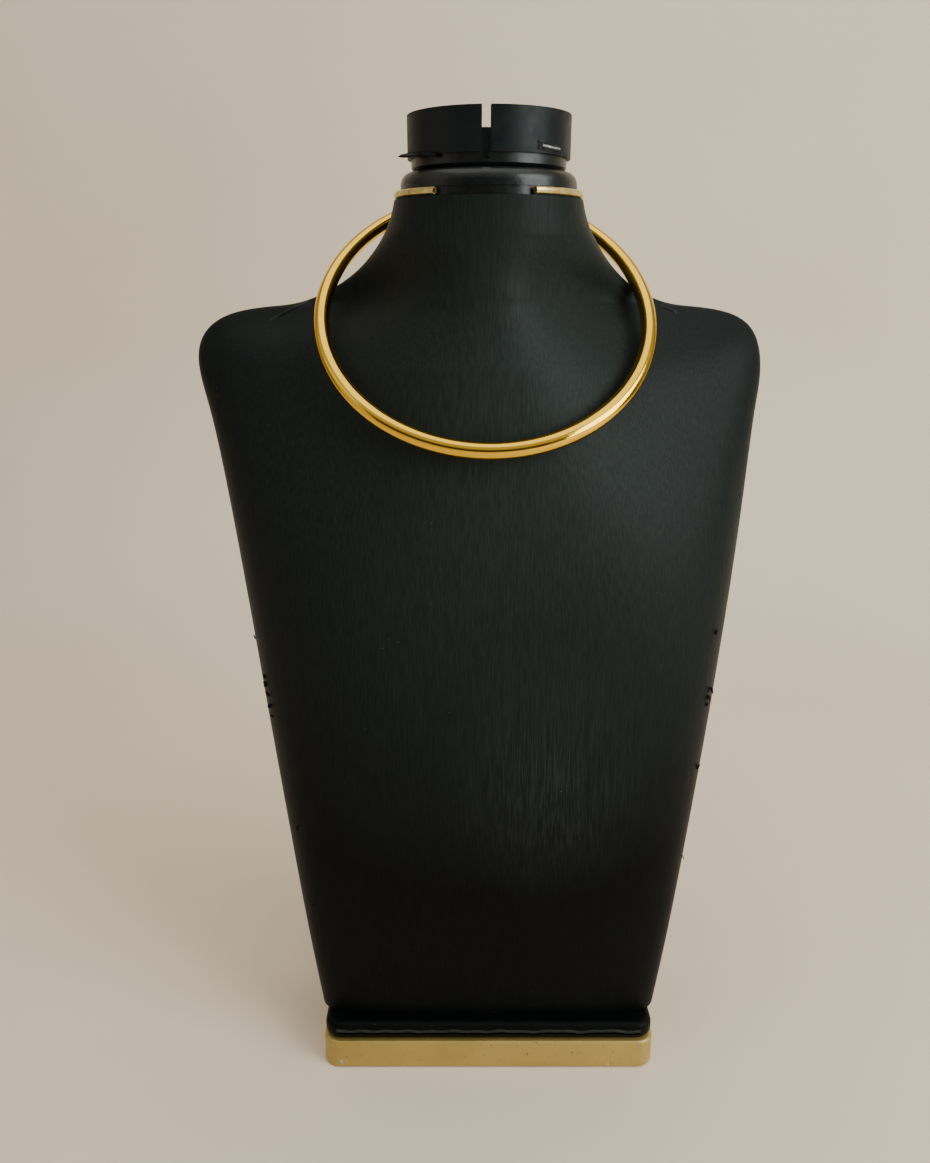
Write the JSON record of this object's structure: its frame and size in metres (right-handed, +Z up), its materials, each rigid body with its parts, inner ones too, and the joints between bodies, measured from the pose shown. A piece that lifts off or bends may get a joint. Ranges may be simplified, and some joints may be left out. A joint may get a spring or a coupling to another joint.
{
  "type": "collar choker necklace on a neck bust stand",
  "caption": "Rigid polished tubular collar necklace, hooked behind the neck of a tapered leatherette bust stand with a split cap and a metal base.",
  "frame": {"origin": "on the floor, under the middle of the whole", "axes": "+Z up, the front of the bust faces -Y, +X to the right of someone who looks at the front"},
  "size_m": [0.248, 0.089, 0.414],
  "materials": {
    "collar_gold": "polished gold plate",
    "leatherette": "black brushed-grain leatherette, worn at the edges",
    "trim_gold": "dull gold piping",
    "cap_gloss": "glossy black",
    "base_gold": "satin gold paint"
  },
  "bodies": {
    "root": {"collar_tube": "collar_gold", "collar_clasp": "collar_gold", "bust_body": "leatherette", "neck_trim": "trim_gold", "neck_disc": "cap_gloss", "cap_cup": "cap_gloss", "cap_wrap_left": "leatherette", "cap_wrap_right": "leatherette", "plinth": "leatherette", "gold_base": "base_gold"}
  },
  "joints": []
}
